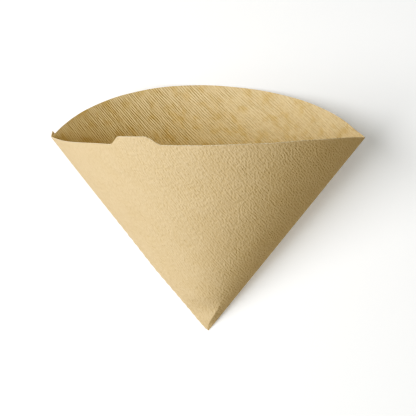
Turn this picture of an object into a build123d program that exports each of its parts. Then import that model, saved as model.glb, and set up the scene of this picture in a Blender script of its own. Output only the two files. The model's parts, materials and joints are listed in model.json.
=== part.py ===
"""A cone-shaped paper coffee filter, opened out and lying on its back wall.

It is one sheet of creped paper. The sheet is folded in half along the crease on the right (+X) and
crimped to itself along the seam on the left (-X). The seam strip is folded back behind the cone, and
the mouth is opened, so the front wall bulges up and the back wall lies along the table.

The tip of the cone is the origin. Every straight line of the paper runs out from it, +Y runs from the
tip to the mouth along the table, and +Z is up. All sizes are in millimetres and degrees.
"""

import math
import os

from build123d import *

# The sheet
slant = 125.0  # from the tip to the cut rim, along the paper
paper = 0.25  # one ply, between the tops of its crepe on the two faces
tip_blunt = 1.0  # how far up the axis the crumpled tip starts
tip_closed = 1.5  # how deep the paper is pressed together above that

# How far the cone is opened: angles at the tip, away from its axis
side_angle = 36.5  # to the crease on the right, and to the fold of the seam on the left
front_angle = 25.4  # to the middle of the front wall
back_angle = 26.6  # to the middle of the back wall, so also the axis's slope above the table
rest_angle = 4.0  # half of the width of back wall that lies flat on the table
rest_press = 0.03  # how much of the ply's crepe is pressed flat there
belly_angle = 42.0  # how far the back wall bends beside the flat before it straightens to the seam
belly_radius = 0.5  # of that bend, for each millimetre up the cone's axis

# The tab on the front wall's rim, for lifting the used filter
tab_base = 26.0  # along the rim
tab_top = 13.5
tab_height = 4.7
tab_shoulder = 9.0  # radius where its sides leave the rim
tab_corner = 6.0  # radius of its two top corners
tab_place = 0.332  # its middle, as a share of the front wall from the seam

# The crimped seam strip, two plies thick
strip_width = 7.0
strip_thickness = 0.45
strip_start = 5.0  # from the tip, along the fold
strip_overlap = 0.15  # how far the fold's knuckle stands out past the fold line
lift_at_tip = 5.0  # angle between the strip and the back wall near the tip
lift_at_mouth = 25.0  # and at the mouth, where it springs away
table_gap = 0.4  # the strip's lower end is trimmed to stay this far above the table

# Working sizes
trim_margin = 15.0  # how far the untrimmed cone runs on past the rim
tab_sink = 0.3  # the shoulders start this far inside the rim, so they leave it at a slight angle
tab_reach = 5.0  # how far the tab's outline is carried each way from its own plane

axis_up = Vector(0, math.cos(math.radians(back_angle)), math.sin(math.radians(back_angle)))
full_reach = slant + trim_margin


def section_plane(reach):
    """The plane square to the cone's axis at this distance from the tip, as seen from the tip:
    x is to the right, and y is up, to the front wall."""
    return Plane(origin=axis_up * reach, x_dir=(1, 0, 0), z_dir=-axis_up)


def per_reach(angle):
    """How far out a line at this angle to the axis gets, for each millimetre along it."""
    return math.tan(math.radians(angle))


def draw_lens(reach):
    """The cone's outer section: an arched front wall, and a back wall with a flat middle.

    The crease side of the back wall is a plain arc. The seam's two plies are stiff and hold the
    back wall straighter beside them, so that side bends first and then runs out to the seam.
    """
    side = reach * per_reach(side_angle)
    front = reach * per_reach(front_angle)
    back = -reach * per_reach(back_angle) - rest_press
    flat = reach * per_reach(rest_angle)
    front_arc = ThreePointArc((-side, 0), (0, front), (side, 0))
    TangentArc((flat, back), (side, 0), tangent=(1, 0))
    Line((flat, back), (-flat, back))
    belly = JernArc((-flat, back), (-1, 0), reach * belly_radius, -belly_angle)
    seam_curve = TangentArc(belly @ 1, (-side, 0), tangent=belly % 1)
    return front_arc, seam_curve


def paper_line(plane, arc, share):
    """The ruling that passes this share of the way along a section's arc.

    Returns its direction out of the tip, and the direction along the paper square to it.
    """
    point = plane.from_local_coords(arc @ share)
    beyond = plane.from_local_coords(arc @ share + arc % share)
    ruling = point.normalized()
    along = beyond - point
    return ruling, (along - ruling * along.dot(ruling)).normalized()


# The outside of the cone, running on past the rim
with BuildPart() as cone_outside:
    for reach in (tip_blunt, full_reach):
        with BuildSketch(section_plane(reach)):
            with BuildLine():
                front_arc, seam_curve = draw_lens(reach)
            make_face()
    loft(ruled=True)

# The hollow, one ply in from the outside. A ruling's slope leaves the ply thinner than its
# section shows, so the section is inset by a little more than one ply.
mean_angle = (side_angle + front_angle + back_angle) / 3
inset = paper / math.cos(math.radians(mean_angle))
with BuildPart() as cone_hollow:
    for reach in (tip_blunt + tip_closed, full_reach):
        with BuildSketch(section_plane(reach)):
            with BuildLine():
                draw_lens(reach)
            make_face()
            offset(amount=-inset, kind=Kind.INTERSECTION, mode=Mode.REPLACE)
    loft(ruled=True)

# The seam strip: it leaves the fold line square to it, close against the back wall near the tip
# and standing away from it at the mouth.
seam_fold, out_to_fold = paper_line(section_plane(full_reach), seam_curve, 1)
along_wall = -out_to_fold
away_from_wall = seam_fold.cross(along_wall)
with BuildPart() as seam_strip:
    for reach, lift in ((strip_start, lift_at_tip), (full_reach, lift_at_mouth)):
        turn = math.radians(lift)
        strip_dir = along_wall * math.cos(turn) + away_from_wall * math.sin(turn)
        with BuildSketch(Plane(origin=seam_fold * reach, x_dir=strip_dir, z_dir=seam_fold)):
            with Locations((-strip_overlap, 0)):
                Rectangle(strip_width + strip_overlap, strip_thickness, align=(Align.MIN, Align.CENTER))
    loft(ruled=True)
    split(bisect_by=Plane.XY.offset(table_gap), keep=Keep.TOP)

# What the cutting die leaves: everything within the slant of the tip, and the tab beyond it
tab_ruling, tab_across = paper_line(section_plane(full_reach), front_arc, tab_place)
side_run = (tab_base - tab_top) / 2
with BuildPart() as die_cut:
    with BuildSketch(Plane((0, 0, 0), x_dir=tab_across, z_dir=tab_across.cross(tab_ruling))) as tab_outline:
        Circle(slant - tab_sink)
        with BuildLine():
            Polyline(
                (-tab_base / 2 - side_run, slant - tab_height),
                (-tab_top / 2, slant + tab_height),
                (tab_top / 2, slant + tab_height),
                (tab_base / 2 + side_run, slant - tab_height),
                close=True,
            )
        make_face()
        shoulders, corners = tab_outline.vertices().group_by(Axis.Y)[-2:]
        fillet(shoulders, tab_shoulder)
        fillet(corners, tab_corner)
    extrude(amount=tab_reach, both=True)
    Sphere(slant)

# The seam strip joins the outside before the hollow is taken out, so the inside stays clean. The
# cut along the table takes off the pressed crepe and leaves a true flat for the filter to rest on.
with BuildPart() as filter_paper:
    add(cone_outside.part)
    add(seam_strip.part)
    add(cone_hollow.part, mode=Mode.SUBTRACT)
    add(die_cut.part, mode=Mode.INTERSECT)
    split(bisect_by=Plane.XY, keep=Keep.TOP)
filter_paper.part.label = "filter_paper"

os.makedirs("parts", exist_ok=True)
export_step(filter_paper.part, "parts/filter_paper.step")

box = filter_paper.part.bounding_box().size
print(f"filter_paper: {box.X:.1f} x {box.Y:.1f} x {box.Z:.1f} mm, {filter_paper.part.volume:.0f} mm3")
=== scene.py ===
# %% [markdown]
# # A paper coffee filter, opened out on a white table
#
# The real thing is one sheet of brown creped paper. It is folded in half along a crease, pressed
# to itself along a crimped seam, and cut round the top. Here it lies on its back wall with the mouth
# pulled open. Everything that follows is a way of describing that one sheet: where each straight
# line of the paper runs, how thick the sheet is, and what its two faces look like close up.

# %% The fixed frame
import json
import math

import bpy
import numpy as np
from mathutils import Matrix, Vector, noise


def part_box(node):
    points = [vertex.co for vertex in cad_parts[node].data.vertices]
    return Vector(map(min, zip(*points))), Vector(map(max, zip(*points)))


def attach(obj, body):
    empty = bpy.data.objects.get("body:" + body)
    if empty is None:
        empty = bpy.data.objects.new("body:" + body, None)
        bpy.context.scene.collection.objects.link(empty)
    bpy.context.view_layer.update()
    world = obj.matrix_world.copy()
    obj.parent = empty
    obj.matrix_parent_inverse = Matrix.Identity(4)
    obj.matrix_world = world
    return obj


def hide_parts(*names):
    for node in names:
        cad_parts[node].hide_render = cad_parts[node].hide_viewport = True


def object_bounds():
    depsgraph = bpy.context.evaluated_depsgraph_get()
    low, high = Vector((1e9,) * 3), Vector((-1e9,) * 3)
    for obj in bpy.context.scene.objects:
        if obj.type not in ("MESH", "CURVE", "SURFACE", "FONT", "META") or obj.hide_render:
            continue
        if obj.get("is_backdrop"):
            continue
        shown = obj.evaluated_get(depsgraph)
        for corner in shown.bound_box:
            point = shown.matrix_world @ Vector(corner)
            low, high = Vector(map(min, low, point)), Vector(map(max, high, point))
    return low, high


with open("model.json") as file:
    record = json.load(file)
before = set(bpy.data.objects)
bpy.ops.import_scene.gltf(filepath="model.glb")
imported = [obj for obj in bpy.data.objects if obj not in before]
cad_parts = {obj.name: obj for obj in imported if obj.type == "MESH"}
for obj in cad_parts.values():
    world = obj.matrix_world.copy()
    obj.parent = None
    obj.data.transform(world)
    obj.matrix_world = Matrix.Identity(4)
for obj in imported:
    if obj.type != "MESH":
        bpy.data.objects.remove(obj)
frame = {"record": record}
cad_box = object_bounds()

mm = 0.001
print("the checked model measures", [round(side / mm, 1) for side in cad_box[1] - cad_box[0]], "mm")

# %% [markdown]
# ## The cone's own measures
#
# A sheet that bends without stretching keeps straight lines in it, and in a cone they all run out of
# the tip. So the whole filter is known once its section is known: the outline on a card held square
# to the cone's axis, one unit away from the tip. The model in model.glb gives the rest. Its tip is the
# origin, its longest straight line is the slant, its width gives the folds, and its dripper mount
# looks along the axis.

# %% Tip, axis and folds
low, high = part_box("filter_paper")
slant = high.y
dripper = next(m for m in frame["record"]["mounts"] if m["name"] == "dripper_cone")
axis_up = -np.array(dripper["axis"])
across = np.array([1.0, 0.0, 0.0])
over = np.cross(across, axis_up)
fold_reach = math.tan(math.asin(high.x / slant))
print(f"slant {slant / mm:.1f} mm, folds {fold_reach:.3f} to each side for each unit up the axis")

# %% [markdown]
# ## Two arches
#
# Opened paper springs into two arches that meet at the folds. They could be drawn point by point,
# but paper bends smoothly, and one Bezier curve per wall has that same smoothness from four numbers:
# the angle at which the wall leaves each fold, and how firmly it holds that direction. The back wall
# leaves the seam straighter than the front one, because the seam's two plies stiffen it there.

# %% The section of each wall
def arch(seam_angle, seam_hold, crease_angle, crease_hold, steps=600):
    """A wall's section from the seam to the crease, on the card one unit up the axis."""
    seam, crease = np.array([-fold_reach, 0]), np.array([fold_reach, 0])
    seam_angle, crease_angle = math.radians(seam_angle), math.radians(crease_angle)
    from_seam = seam + seam_hold * np.array([math.cos(seam_angle), math.sin(seam_angle)])
    to_crease = crease + crease_hold * np.array([-math.cos(crease_angle), math.sin(crease_angle)])
    t = np.linspace(0, 1, steps)[:, None]
    near_seam = seam * (1 - t) ** 3 + 3 * from_seam * t * (1 - t) ** 2
    near_crease = 3 * to_crease * t**2 * (1 - t) + crease * t**3
    return near_seam + near_crease


front_section = arch(63.9, 0.614, 55.8, 0.861)
back_section = arch(53.7, 1.019, 65.3, 0.546) * (1, -1)


def lines(section):
    """Directions out of the tip through points of the card."""
    out = axis_up + section[..., :1] * across + section[..., 1:2] * over
    return out / np.linalg.norm(out, axis=-1, keepdims=True)


def turned(section):
    """How far round the flat sheet each line has come, in radians, counted from the first."""
    out = lines(section)
    step = np.linalg.norm(np.diff(out, axis=0), axis=1)
    return np.concatenate([[0], np.cumsum(step)])


front_turn, back_turn = turned(front_section), turned(back_section)
print(f"laid flat, the front wall spans {math.degrees(front_turn[-1]):.1f} degrees")
print(f"and the back wall {math.degrees(back_turn[-1]):.1f} degrees")

# %% [markdown]
# ## Columns of the sheet
#
# The mesh is one wrapped grid. A column of it is one straight line of the paper, and a row is a
# distance from the tip. Columns stand close together where something small happens, at the two folds
# and across the lifting tab, and wider apart on the plain paper between.

# %% Where the columns stand
tab_middle = 30.0  # degrees round the flat sheet from the seam
tab_half_base = 13.2 * mm
tab_half_top = 5.9 * mm
tab_height = 4.6 * mm


def spaced(*spans):
    """Places along a wall in millimetres at the rim: each span is its end and how many steps reach it."""
    places = [np.array([0.0])]
    for end, steps in spans:
        places.append(np.linspace(places[-1][-1], end, steps + 1)[1:])
    return np.concatenate(places) * mm / slant


front_end = front_turn[-1] * slant / mm
back_end = back_turn[-1] * slant / mm
at_seam = ((0.6, 2), (3.0, 3))
beside_tab = (50, 36)
across_tab = (81, 62)


def at_crease(end):
    return (end - 0.5, 4), (end, 3)


front_columns = spaced(*at_seam, beside_tab, across_tab, (front_end - 3, 84), *at_crease(front_end))
back_columns = spaced(*at_seam, (back_end - 3, 110), *at_crease(back_end))
print(len(front_columns), "columns in the front wall and", len(back_columns), "in the back wall")

# %% [markdown]
# ## The rim
#
# A filter is die-cut, so its rim is an even distance from the tip. The exceptions are a tab
# that stands up on the front wall, with soft shoulders, and the slight unevenness of a soft sheet
# that gave under the knife. The back wall's rim runs a little long beside the seam.

# %% The length of each line
rim_short = 0.3 * mm  # the cut is a little inside the nominal size
front_dip = 0.9 * mm  # the front rim is cut lower beside the seam
dip_at = 0.12  # share of the front wall, from the seam
dip_half = 0.08


def smooth(x):
    """0 below 0, 1 above 1, and an even S between."""
    x = np.clip(x, 0, 1)
    return x * x * (3 - 2 * x)


def between_folds(share):
    """1 along a wall, falling to 0 at both folds."""
    return smooth(share * 20) * smooth((1 - share) * 20)


def front_rim(turn):
    along = (turn - math.radians(tab_middle)) * slant
    shoulder = (tab_half_base - np.abs(along)) / (tab_half_base - tab_half_top)
    uneven = 0.08 * mm * np.sin(turn * 9 + 1) + 0.05 * mm * np.sin(turn * 23)
    share = turn / front_turn[-1]
    dip = front_dip * np.exp(-(((share - dip_at) / dip_half) ** 2))
    plain_rim = (uneven - rim_short - dip) * between_folds(share)
    return slant + plain_rim + (tab_height + rim_short) * smooth(shoulder)


def back_rim(turn):
    share = turn / back_turn[-1]
    uneven = 0.07 * mm * np.sin(turn * 11) + 0.04 * mm * np.sin(turn * 31 + 2)
    long_side = 0.5 * mm * np.cos(math.pi * share)
    return slant + (uneven + long_side - rim_short) * between_folds(share)


print(f"the tab reaches {front_rim(np.array([math.radians(tab_middle)]))[0] / mm:.1f} mm from the tip")

# %% [markdown]
# ## How the tip was pressed
#
# The filter was packed flat, and its last two centimetres have never been opened. The front wall is
# still two flat facets there, with a pressed ridge between them that drifts towards the crease and
# fades into the round arch. The seam fold bows out a little on its way up. All of it is written as
# small changes to the section that depend on the distance from the tip, called the reach here.

# %% The section at any reach
facet_fades = (7 * mm, 27 * mm)
facet_hold = 0.8
ridge_drift = 0.33
ridge_settles = 17 * mm
seam_bow = 1.0 * mm
seam_bulge = 0.55 * mm  # on top of the bow, low on the seam
bulge_at = 42 * mm
bulge_half = 14 * mm
bow_width = 0.25  # on the card, inwards from the seam
tip_pinch = 9 * mm


def faceted(x, y, reach):
    """The front arch's height on the card, pressed towards its two facets near the tip."""
    held = facet_hold * (1 - smooth((reach - facet_fades[0]) / (facet_fades[1] - facet_fades[0])))
    ridge_x = ridge_drift * smooth(reach / ridge_settles) ** 0.7
    ridge_y = np.interp(ridge_x, front_section[:, 0], front_section[:, 1])
    to_seam = (x + fold_reach) / (ridge_x + fold_reach)
    to_crease = (fold_reach - x) / (fold_reach - ridge_x)
    return y * (1 - held) + ridge_y * np.minimum(to_seam, to_crease) * held


def bowed(x, reach):
    """Sideways place on the card, moved out beside the seam."""
    share = reach / slant
    bulge = seam_bulge * np.exp(-(((reach - bulge_at) / bulge_half) ** 2))
    out = (seam_bow * 4 * share * (1 - share) + bulge) / np.maximum(reach, 5 * mm)
    return x - out * np.exp(-(((x + fold_reach) / bow_width) ** 2))


def pinched(y, reach):
    """Height on the card, closed up at the tip where the two walls are pressed together."""
    return y * (0.3 + 0.7 * smooth(reach / tip_pinch))


def paper_points(wall, turn, reach):
    """Points of one wall, from how far round the flat sheet they are and their reach."""
    section, turns = (front_section, front_turn) if wall == "front" else (back_section, back_turn)
    x, y = np.interp(turn, turns, section[:, 0]), np.interp(turn, turns, section[:, 1])
    if wall == "front":
        y = faceted(x, y, reach)
    card = np.stack([bowed(x, reach), pinched(y, reach)], axis=-1)
    return lines(card) * reach[..., None]


middle = paper_points("front", np.array([front_turn[-1] / 2]), np.array([slant]))[0]
print("the middle of the front rim is at", (middle / mm).round(1), "mm")

# %% [markdown]
# ## The cone
#
# The grid is wrapped: the front wall's columns run from the seam to the crease, and the back wall's
# run on from the crease to the seam again. Blender's Solidify modifier then gives the sheet its
# quarter of a millimetre, inwards, and can hand the inner faces and the cut rim materials of their
# own, which suits a sheet whose two sides don't look the same. Near the tip there is no room for a
# full ply inside, so a vertex group thins it there. The map of the sheet laid flat goes along as UV
# coordinates in metres, so that the crepe can run straight across the sheet, through the folds.

# %% The wrapped grid
paper = 0.25 * mm
rows = 128
tip_trim = (0.5 * mm, 2.0 * mm)  # at the crease and at the seam, where the corner is nipped off


def tip_start(turn, turn_end):
    """How far from the tip a line starts."""
    return tip_trim[0] + (tip_trim[1] - tip_trim[0]) * (1 - turn / turn_end) ** 3


def wall_grid(wall, turn, rim, turn_end):
    """One wall's points, row by row from the tip to its rim, and their reach."""
    start = tip_start(turn, turn_end)
    climb = np.linspace(0, 1, rows)[:, None]
    reach = start + (rim(turn) - start) * climb
    return paper_points(wall, np.broadcast_to(turn, reach.shape), reach), reach


front_grid, front_reach = wall_grid("front", front_columns, front_rim, front_turn[-1])
back_grid, back_reach = wall_grid("back", back_columns, back_rim, back_turn[-1])
ring = np.concatenate([front_grid, back_grid[:, -2:0:-1]], axis=1)
ring_reach = np.concatenate([front_reach, back_reach[:, -2:0:-1]], axis=1)
flat_turn = np.concatenate([front_turn[-1] - front_columns, back_columns[-2::-1] - back_turn[-1]])
count = ring.shape[1]
print(rows, "rows by", count, "columns")

# %% [markdown]
# Soft paper is never quite even, so the walls also carry shallow swells a few centimetres long. They
# are moved along the surface itself, not painted, because they show in the way the light falls off.

# %% Shallow swells
swell_height = 0.22 * mm
swell_length = 26 * mm
swell_place = Vector((4, 8, 12))  # which part of the endless pattern is used
calm_tip = 40 * mm
calm_columns = 14
table_skin = 0.4 * mm
table_fade = 6 * mm


def swells(points):
    """An even mix of soft hills, one number for each point."""
    places = [Vector(p) / swell_length + swell_place for p in points]
    return np.array([swell_height * noise.fractal(place, 0.6, 2.0, 2) for place in places])


along = np.roll(ring, -1, axis=1) - np.roll(ring, 1, axis=1)
up = np.gradient(ring, axis=0)
outward = np.cross(along, up)
outward /= np.linalg.norm(outward, axis=2, keepdims=True)
height = swells(ring.reshape(-1, 3)).reshape(rows, count)
fold_columns = np.abs(np.arange(count)[:, None] - np.array([0, len(front_columns) - 1, count])).min(axis=1)
calm = smooth(ring_reach / calm_tip) * smooth(fold_columns / calm_columns)
resting = smooth((ring[..., 2] - table_skin) / table_fade)
height = height * calm * resting
ring = ring + outward * height[..., None]
print(f"swells move the paper by up to {np.abs(height).max() / mm:.2f} mm")

# %% [markdown]
# The points become a mesh here. Each face's corners get their place on the flat sheet one by one,
# because a point on the seam lies at two places of the flat sheet at once. A small helper smooths
# the shading and keeps the pressed folds crisp.

# %% The sheet as a mesh
crisp_fold = math.radians(50)
full_ply_from = 5 * mm
least_ply = 0.05


def crisp(piece):
    """Shades a piece smoothly, apart from its sharp folds and cut edges."""
    piece.data.shade_smooth()
    piece.data.set_sharp_from_angle(angle=crisp_fold)


def mesh_piece(name, points, faces, uvs):
    """A piece with these points and faces, and a place on the flat sheet for each face corner."""
    mesh = bpy.data.meshes.new(name)
    mesh.from_pydata([tuple(p) for p in points], [], [tuple(face) for face in faces])
    layer = mesh.uv_layers.new(name="flat_sheet")
    layer.data.foreach_set("uv", np.asarray(uvs, dtype=float).ravel())
    piece = bpy.data.objects.new(name, mesh)
    bpy.context.scene.collection.objects.link(piece)
    return piece


r, c = np.meshgrid(np.arange(rows - 1), np.arange(count), indexing="ij")
right = (c + 1) % count
below, above = r * count, (r + 1) * count
quads = np.stack([below + c, below + right, above + right, above + c], axis=-1)
corner_turn = np.stack([flat_turn[c], flat_turn[c + 1], flat_turn[c + 1], flat_turn[c]], axis=-1)
corner_reach = ring_reach.ravel()[quads]
uvs = np.stack([corner_reach * np.sin(corner_turn), corner_reach * np.cos(corner_turn)], axis=-1)
cone = mesh_piece("filter_cone", ring.reshape(-1, 3), quads.reshape(-1, 4), uvs)

ply_room = cone.vertex_groups.new(name="room_for_ply")
for index, reach in enumerate(ring_reach.ravel()):
    ply_room.add([index], float(min(1, reach / full_ply_from)), "REPLACE")
solid = cone.modifiers.new("one ply", "SOLIDIFY")
solid.thickness = paper
solid.offset = -1
solid.use_even_offset = True
solid.vertex_group = ply_room.name
solid.thickness_vertex_group = least_ply
solid.material_offset = 1
solid.material_offset_rim = 2
print("the open sheet has", len(cone.data.polygons), "faces")

# %% [markdown]
# ## The crimped seam
#
# Along the seam both plies run on past the cone for a few millimetres. The factory pressed them
# together between toothed wheels and folded the strip back behind the cone, where it springs away
# from the wall, more at the mouth than at the tip. The teeth leave fine ridges across the strip, and
# the fold itself comes out a little wavy. The strip needs many more rows than the smooth wall does
# and hardly any columns, so it is a mesh of its own: one closed outline, carried along the fold. It
# starts inside the front ply, which hides the join, and turns the corner where the ply turns.

# %% The strip's path along the fold
strip_width = 7 * mm
strip_ply = 0.26 * mm
strip_from = 4 * mm
strip_lift = (math.radians(6), math.radians(25))  # off the back wall, at the tip and at the mouth
table_clear = 0.5 * mm
tooth_pitch = 1.9 * mm
tooth_depth = 0.10 * mm
wave_pitch = 4.1 * mm
wave_depth = 0.16 * mm
end_stretch = 0.9 * mm  # how far the free edge's end stands past the rim
stations = 400
beside_fold = 1.2 * mm


def unit(v):
    return v / np.linalg.norm(v, axis=-1, keepdims=True)


def as_column(values):
    return values[:, None]


along_fold = np.linspace(strip_from, slant, stations)
one = np.ones(stations)
fold_line = paper_points("front", 0 * one, along_fold)
on_front = paper_points("front", beside_fold / along_fold, along_fold)
on_back = paper_points("back", beside_fold / along_fold, along_fold)
ruling = unit(np.gradient(fold_line, axis=0))


def square_to_fold(v):
    return unit(v - ruling * (v * ruling).sum(axis=1, keepdims=True))


inward_back = square_to_fold(on_back - fold_line)
inward_front = square_to_fold(on_front - fold_line)
closeness = (inward_front * inward_back).sum(axis=1)
away = -square_to_fold(inward_front - inward_back * as_column(closeness))
dihedral = np.arccos(closeness)
print("at the mouth the walls open", round(math.degrees(dihedral[-1])), "degrees at the seam")

# %% [markdown]
# The outline is written in a plane square to the fold. Its first axis runs along the back wall
# and its second one away from the cone, so the strip's slant is just the lift angle. The free edge
# sinks towards the table near the tip, and the strip is trimmed there to stay above it.

# %% The strip's outline and mesh
climb = (along_fold - strip_from) / (slant - strip_from)
lift = strip_lift[0] + (strip_lift[1] - strip_lift[0]) * climb**1.3
strip_dir = inward_back * as_column(np.cos(lift)) + away * as_column(np.sin(lift))
room = (fold_line[:, 2] - table_clear) / np.maximum(-strip_dir[:, 2], 0.01)
width = np.minimum(strip_width, room * 0.97)
tooth = np.sin(2 * math.pi * along_fold / tooth_pitch)
wave = np.sin(2 * math.pi * along_fold / wave_pitch + 2 * np.sin(along_fold / (17 * mm)))
wave = wave * smooth((100 * mm - along_fold) / (50 * mm))


def in_plane(first, second):
    """Points at these amounts along the back wall and away from the cone, one for each station."""
    return fold_line + inward_back * as_column(one * first) + away * as_column(one * second)


front_first, front_second = np.cos(dihedral), -np.sin(dihedral)
out_first, out_second = -np.sin(dihedral), -np.cos(dihedral)
outline, outline_across = [], []


def add_point(first, second, across_strip):
    """One more point of the outline, at every station, and how far across the strip it is."""
    outline.append(in_plane(first, second))
    outline_across.append(across_strip * one)


def embossed(share):
    """How far the teeth push the paper at this share of the strip's width."""
    return tooth * tooth_depth * smooth(share * 8) * smooth((1.04 - share) * 8)


in_front_ply = ((1.8, -0.12), (1.0, -0.03), (0.5, 0.02), (0.1, 0.05))  # millimetres in and out
wave_starts, wave_rise = 1.8 * mm, 1.2 * mm
for in_from_fold, stand_off in in_front_ply:
    back_off = in_from_fold * mm
    swell = stand_off * mm + wave * wave_depth * smooth((wave_starts - back_off) / wave_rise)
    first = front_first * back_off + out_first * swell
    second = front_second * back_off + out_second * swell
    add_point(first, second, -back_off)
middle_off = strip_ply * 1.05
for share in np.linspace(0.03, 1, 12):
    q = share * width
    turn_in = middle_off + strip_ply + embossed(share)
    rounded = wave * wave_depth * (1 - smooth(share * 5))
    first = q * np.cos(lift) - turn_in * np.sin(lift) * smooth(share * 3) + out_first * rounded
    second = q * np.sin(lift) + turn_in * (smooth(share * 7) * 0.6 + 0.4) + out_second * rounded
    add_point(first, second, q)
for share in np.linspace(1, 0.06, 10):
    q = share * width
    turn_in = middle_off - strip_ply + embossed(share)
    add_point(q * np.cos(lift) - turn_in * np.sin(lift), q * np.sin(lift) + turn_in, q)
add_point(1.0 * mm, -0.1 * mm, 0)
add_point(0.6 * mm * np.cos(dihedral / 2), -0.6 * mm * np.sin(dihedral / 2), 0)

strip_points = np.stack(outline, axis=1)
strip_across = np.stack(outline_across, axis=1)
stretch = end_stretch * smooth((along_fold - 0.8 * slant) / (0.2 * slant))
stretched = as_column(stretch) * np.clip(strip_across, 0, None) / strip_width
strip_points += stretched[..., None] * ruling[:, None]
around = strip_points.shape[1]
r, c = np.meshgrid(np.arange(stations - 1), np.arange(around), indexing="ij")
right = (c + 1) % around
below, above = r * around, (r + 1) * around
quads = np.stack([below + c, above + c, above + right, below + right], axis=-1).reshape(-1, 4)
last_station = (stations - 1) * around
ends = [list(range(around))[::-1], [last_station + i for i in range(around)]]
fold_places = np.repeat(as_column(along_fold), around, axis=1)
on_sheet = np.stack([fold_places, -strip_across], axis=-1).reshape(-1, 2)
uvs = np.concatenate([on_sheet[quads.ravel()], on_sheet[ends[0]], on_sheet[ends[1]]])
strip = mesh_piece("seam_strip", strip_points.reshape(-1, 3), [*quads, *ends], uvs)
crisp(strip)
print(f"the strip is {width[-1] / mm:.1f} mm wide at the mouth, and its lowest point is "
      f"{strip_points[..., 2].min() / mm:.2f} mm above the table")

# %% [markdown]
# ## Words for finishes
#
# A material is a graph of nodes, and a graph is awkward to read as text. Two small classes help. A
# Value stands for one output socket and can be used in ordinary sums, each of which adds a Math
# node. A Finish holds one material and makes every other kind of node with a single method.

# %% Value and Finish
class Value:
    """A number that varies over the surface, for use in sums."""

    def __init__(self, finish, socket):
        self.finish, self.socket = finish, socket

    def sum(self, operation, *terms):
        return self.finish.node("ShaderNodeMath", {"operation": operation}, *terms)

    def __add__(self, other):
        return self.sum("ADD", self, other)

    def __sub__(self, other):
        return self.sum("SUBTRACT", self, other)

    def __rsub__(self, other):
        return self.sum("SUBTRACT", other, self)

    def __mul__(self, other):
        return self.sum("MULTIPLY", self, other)

    __radd__, __rmul__ = __add__, __mul__

    def clear(self, start, end):
        """0 up to start, 1 from end on, and an even S between."""
        settings = {"interpolation_type": "SMOOTHSTEP"}
        span = {"From Min": start, "From Max": end}
        return self.finish.node("ShaderNodeMapRange", settings, Value=self, **span)


class Finish:
    """One material, built node by node."""

    def __init__(self, name):
        self.material = bpy.data.materials.new(name)
        self.material.use_nodes = True
        self.tree = self.material.node_tree
        self.tree.nodes.clear()

    def fill(self, socket, value):
        """Links a Value to a socket, or sets the socket to a plain number or colour."""
        if isinstance(value, Value):
            self.tree.links.new(value.socket, socket)
        else:
            socket.default_value = value

    def node(self, kind, settings, *terms, **inputs):
        """A node of this kind. Settings go in first, then values or links for its inputs."""
        node = self.tree.nodes.new(kind)
        for name, value in settings.items():
            setattr(node, name, value)
        for name, value in [*enumerate(terms), *inputs.items()]:
            self.fill(node.inputs[name], value)
        return Value(self, node.outputs[0]) if node.outputs else None

    def mix(self, share, one, other):
        """Goes from one colour to the other as the share goes from 0 to 1.

        The Mix node has a set of sockets for each kind of value, so the colour ones are asked for by
        their identifiers.
        """
        node = self.node("ShaderNodeMix", {"data_type": "RGBA"}).socket.node
        sockets = {socket.identifier: socket for socket in [*node.inputs, *node.outputs]}
        self.fill(sockets["Factor_Float"], share)
        for name, colour in (("A_Color", one), ("B_Color", other)):
            self.fill(sockets[name], colour if isinstance(colour, Value) else (*colour, 1))
        return Value(self, sockets["Result_Color"])

    def done(self, **inputs):
        """The finished material, from the inputs of its shader."""
        shader = self.node("ShaderNodeBsdfPrincipled", {}, **inputs)
        self.node("ShaderNodeOutputMaterial", {}, shader)
        return self.material


print("a Value can be added to, and a Finish can be asked for any node")

# %% [markdown]
# ## Patterns on the flat sheet
#
# Creping crowds the wet sheet into fine ribs. They belong to the sheet, not to the space around it,
# so every pattern here is laid out on the map of the flat sheet, turned to the angle of the ribs and
# then measured in millimetres along and across them. Bands of Blender's Wave texture, shaken a
# little, give the sharp ribs of the inner face. Spots of Noise that are longer one way than the
# other give the softer beads of the outer face.

# %% Patterns in millimetres
one_band = math.pi / 10  # the Wave node's scale for one band in each unit


def laid_on_sheet(finish, length, width, tilt):
    """Places on the flat sheet, in units of this length and width along and across the ribs."""
    flat = finish.node("ShaderNodeUVMap", {"uv_map": "flat_sheet"})
    spin = (0, 0, math.radians(tilt))
    spun = finish.node("ShaderNodeMapping", {"vector_type": "TEXTURE"}, Vector=flat, Rotation=spin)
    per_unit = (1 / (length * mm), 1 / (width * mm), 1)
    return finish.node("ShaderNodeMapping", {}, Vector=spun, Scale=per_unit)


def spots(finish, length, width, tilt=0, **inputs):
    """A pattern of soft spots of this size, from 0 to 1."""
    place = laid_on_sheet(finish, length, width, tilt)
    return finish.node("ShaderNodeTexNoise", {"noise_dimensions": "2D"}, Vector=place, Scale=1.0, **inputs)


def ribs(finish, length, pitch, tilt):
    """Fairly even ribs at this pitch, which wander sideways and pinch out over this length."""
    place = laid_on_sheet(finish, length, pitch, tilt)
    inputs = {"Scale": one_band, "Distortion": 4.5, "Detail": 1.0, "Detail Scale": 3.0}
    return finish.node("ShaderNodeTexWave", {"bands_direction": "Y"}, Vector=place, **inputs)


print("ribs, spots and beads are all measured on the flat sheet")

# %% [markdown]
# ## Colours of the paper
#
# Unbleached paper is named by what it looks like on a screen, and Blender mixes amounts of light, so
# one function goes from the one to the other. The inner face is a little lighter than the outer one,
# as painted light that lifts the shaded inside of the cone. The hollows of the crepe are darker, as
# painted shade, under a random mottle of the same darker colour. A few warm patches are lumps of less
# washed pulp, and the cut edge is near white, partly pale, torn fibre and partly a painted highlight.

# %% Colours
def screen_to_light(level):
    """The amount of light behind this level on a screen, both from 0 to 1."""
    return level / 12.92 if level <= 0.04045 else ((level + 0.055) / 1.055) ** 2.4


def rgb(*levels):
    return tuple(screen_to_light(level) for level in levels)


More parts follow.
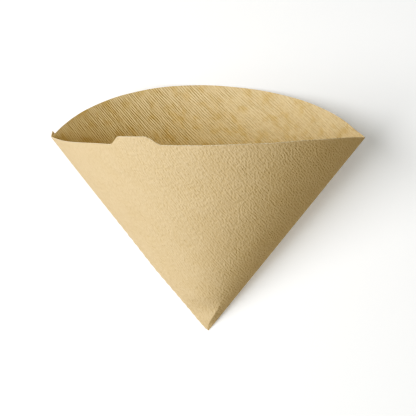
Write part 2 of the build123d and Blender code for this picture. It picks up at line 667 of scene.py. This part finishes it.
kraft = rgb(0.87, 0.775, 0.63)
# Painted light: the inner face is made lighter to lift the shaded inside of the cone.
kraft_inner_painted_fill = rgb(0.92, 0.83, 0.68)
# Painted shade for the crepe's hollows, and also the colour of the random mottle.
kraft_shade_and_mottle = rgb(0.83, 0.725, 0.56)
kraft_warm = rgb(0.82, 0.69, 0.47)
# Partly pale cut fibre and partly a painted highlight: the cut rim is near white so that it shows as a
# light line.
kraft_cut_and_highlight = rgb(1.0, 0.95, 0.86)
print("amounts of light in plain kraft paper:", [round(part, 2) for part in kraft])

# %% [markdown]
# ## Creped paper
#
# One recipe serves all three surfaces, with more rib inside, more bead outside and hardly any of
# either on the cut edge. The height goes to a Bump node, which is enough for relief a tenth of a
# millimetre deep, and some of it goes to the colour. The ribs are sharp in some patches and nearly
# flat in others, as the pressing left them. The two faces have slightly different angles.

# %% Three paper finishes
def paper_finish(name, tilt, rib_depth, bead_depth, blotch, light=kraft):
    """Creped paper. Depths are in millimetres, and blotch is how strong the warm patches are."""
    finish = Finish(name)
    rib = ribs(finish, 9, 1.15, tilt)
    strength = spots(finish, 7, 5, Detail=1.0).clear(0.25, 0.6)
    beads = spots(finish, 1.8, 0.9, tilt, Detail=1.5, Roughness=0.5)
    fibres = spots(finish, 0.6, 0.6, Detail=1.0)
    clouds = spots(finish, 16, 11, Detail=2.0)
    height = rib * (strength * 0.75 + 0.25) * rib_depth + beads * bead_depth + fibres * 0.05
    normal = finish.node("ShaderNodeBump", {}, Strength=1.0, Distance=mm, Height=height)
    # Painted shade: the colour darkens in the hollows of the ribs and beads, on top of a random mottle.
    hollow_shade = 1 - (rib * 0.3 + beads * 0.7).clear(0.25, 0.6)
    tone = finish.mix(hollow_shade * 0.5 + clouds.clear(0.35, 0.7) * 0.15, light, kraft_shade_and_mottle)
    warm = spots(finish, 6, 5, Detail=2.0).clear(0.45, 0.75) * blotch
    colour = finish.mix(warm, tone, kraft_warm)
    matt = {"Roughness": 0.9, "Specular IOR Level": 0.15}
    return finish.done(**{"Base Color": colour, "Normal": normal, **matt})


outer_paper = paper_finish("outer_paper", 15, rib_depth=0.05, bead_depth=0.39, blotch=0.0)
# The inner face's lighter colour is painted fill light.
inner_paper = paper_finish("inner_paper", 2, rib_depth=0.20, bead_depth=0.16, blotch=0.4, light=kraft_inner_painted_fill)
# The cut rim's near-white colour is partly a painted highlight.
cut_paper_and_highlight = paper_finish("cut_paper_and_highlight", 0, rib_depth=0.01, bead_depth=0.02, blotch=0.0, light=kraft_cut_and_highlight)
print("each paper finish has", len(outer_paper.node_tree.nodes), "nodes")

# %% [markdown]
# ## Putting the paper on
#
# The finishes go on in the order that Solidify expects: the outer face, the inner face and the cut
# rim. Then the modifier is applied, so that the piece is a plain mesh. Both pieces stand for the one
# sheet of the model in model.glb.

# %% Finished pieces
def settled(piece):
    """Turns a piece with modifiers into a plain mesh, and crisps its folds."""
    graph = bpy.context.evaluated_depsgraph_get()
    piece.data = bpy.data.meshes.new_from_object(piece.evaluated_get(graph))
    piece.modifiers.clear()
    crisp(piece)


for finish in (outer_paper, inner_paper, cut_paper_and_highlight):
    cone.data.materials.append(finish)
settled(cone)
strip.data.materials.append(outer_paper)
for piece in (cone, strip):
    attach(piece, "root")
    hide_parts("filter_paper")
print("the cone has", len(cone.data.polygons), "faces and the strip", len(strip.data.polygons))

# %% [markdown]
# ## The table
#
# The paper lies on a wide, plain white sheet. A little glow of its own keeps the sheet from going
# grey under the paper, the way a studio table lit from below does.

# %% Table
table_size = 6
table_glow = 0.2
bpy.ops.mesh.primitive_plane_add(size=table_size)
table = bpy.context.object
table.name = "white_table"
white = Finish("white_table")
glow = {"Emission Color": (1, 1, 1, 1), "Emission Strength": table_glow}
table.data.materials.append(white.done(**{"Base Color": (0.87, 0.87, 0.87, 1), "Roughness": 0.6, **glow}))
table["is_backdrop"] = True
print("the table is", table_size, "m wide")

# %% [markdown]
# ## Light
#
# A wide soft lamp high on the seam's side, like a window, gives the cone its long shift from light
# to dark, and it just grazes the ribs inside the mouth. A weaker one overhead opens up the far side.
# Both are round lamps that face the paper, placed by the direction they shine from. A dim grey
# world stands for the rest of the room.

# %% Two lamps and a dim room
lit_spot = Vector((0, 60 * mm, 30 * mm))
lamp_distance = 1.1


def soft_lamp(name, turn, height, size, power, colour):
    """A round lamp that shines on the paper, this many degrees round from +X and above the table."""
    turn, height = math.radians(turn), math.radians(height)
    flat = math.cos(height)
    from_spot = Vector((math.cos(turn) * flat, math.sin(turn) * flat, math.sin(height)))
    light = bpy.data.lights.new(name, "AREA")
    light.shape = "DISK"
    light.size = size
    light.energy = power
    light.color = colour
    lamp = bpy.data.objects.new(name, light)
    lamp.location = lit_spot + from_spot * lamp_distance
    lamp.rotation_euler = (-from_spot).to_track_quat("-Z", "Y").to_euler()
    bpy.context.scene.collection.objects.link(lamp)
    print(name, "gives", power, "watts from", round(math.degrees(height)), "degrees up")


soft_lamp("window", turn=194.5, height=54, size=0.8, power=12.3, colour=(1, 1, 1))
soft_lamp("ceiling", turn=0, height=88, size=0.6, power=2.0, colour=(0.96, 1, 0.9))
world = bpy.data.worlds.new("studio")
world.use_nodes = True
room = world.node_tree.nodes["Background"]
room.inputs["Color"].default_value = (1, 1, 1, 1)
room.inputs["Strength"].default_value = 0.09
bpy.context.scene.world = world

# %% [markdown]
# ## Tone
#
# Catalogue pictures have strong contrast: each halving of the light takes an equal step
# down on the screen. Blender's Standard view shows light as it is, so a tone curve adds those steps.
# The steps die out gently towards black, so the depth of the cone keeps a little drawing. The
# curve runs after the light is worked out, so it leaves the materials' own colours alone.

# %% The tone curve
step_down = 0.375  # how far the screen drops each time the light falls by a factor of e
soft_black = 0.12  # how far above black the steps start to die out
shown = bpy.context.scene.view_settings
shown.view_transform = "Standard"
shown.use_curve_mapping = True
tone = shown.curve_mapping.curves[3]
for amount in (0.03, 0.06, 0.1, 0.16, 0.25, 0.4, 0.65):
    straight = 1 + step_down * math.log(amount)
    level = soft_black * math.log(1 + math.exp(straight / soft_black))
    tone.points.new(amount, screen_to_light(level))
    print(f"light {amount:.2f} shows at {level:.2f} of white")
shown.curve_mapping.update()

# %% [markdown]
# ## Camera
#
# The filter is seen from almost straight above, with a long lens, the tip pointing down the picture.

# %% Camera
aim = Vector((0.1 * mm, 61.85 * mm, 0))
distance = 0.6989
azimuth = math.radians(-3.2)
elevation = math.radians(82.76)
flat = math.cos(elevation)
back = Vector((math.sin(azimuth) * flat, -math.cos(azimuth) * flat, math.sin(elevation)))
camera_right = Vector((0, 1, 0)).cross(back).normalized()
camera_up = back.cross(camera_right)
camera = bpy.data.objects.new("camera", bpy.data.cameras.new("camera"))
camera.data.sensor_width = 36
camera.data.lens = 120.17
facing = Matrix((camera_right, camera_up, back)).transposed().to_4x4()
camera.matrix_world = Matrix.Translation(aim + back * distance) @ facing
bpy.context.scene.collection.objects.link(camera)
bpy.context.scene.camera = camera
print("the camera stands", distance, "m away")

# %% [markdown]
# ## Last measurements
#
# The last cell prints the size of the model from model.glb and of what was built here, for comparison.

# %% Sizes
sizes = {"cad": [list(c) for c in cad_box], "visual": [list(c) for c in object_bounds()]}
for name, (low_corner, high_corner) in sizes.items():
    print(name, [round((b - a) / mm, 1) for a, b in zip(low_corner, high_corner)], "mm")
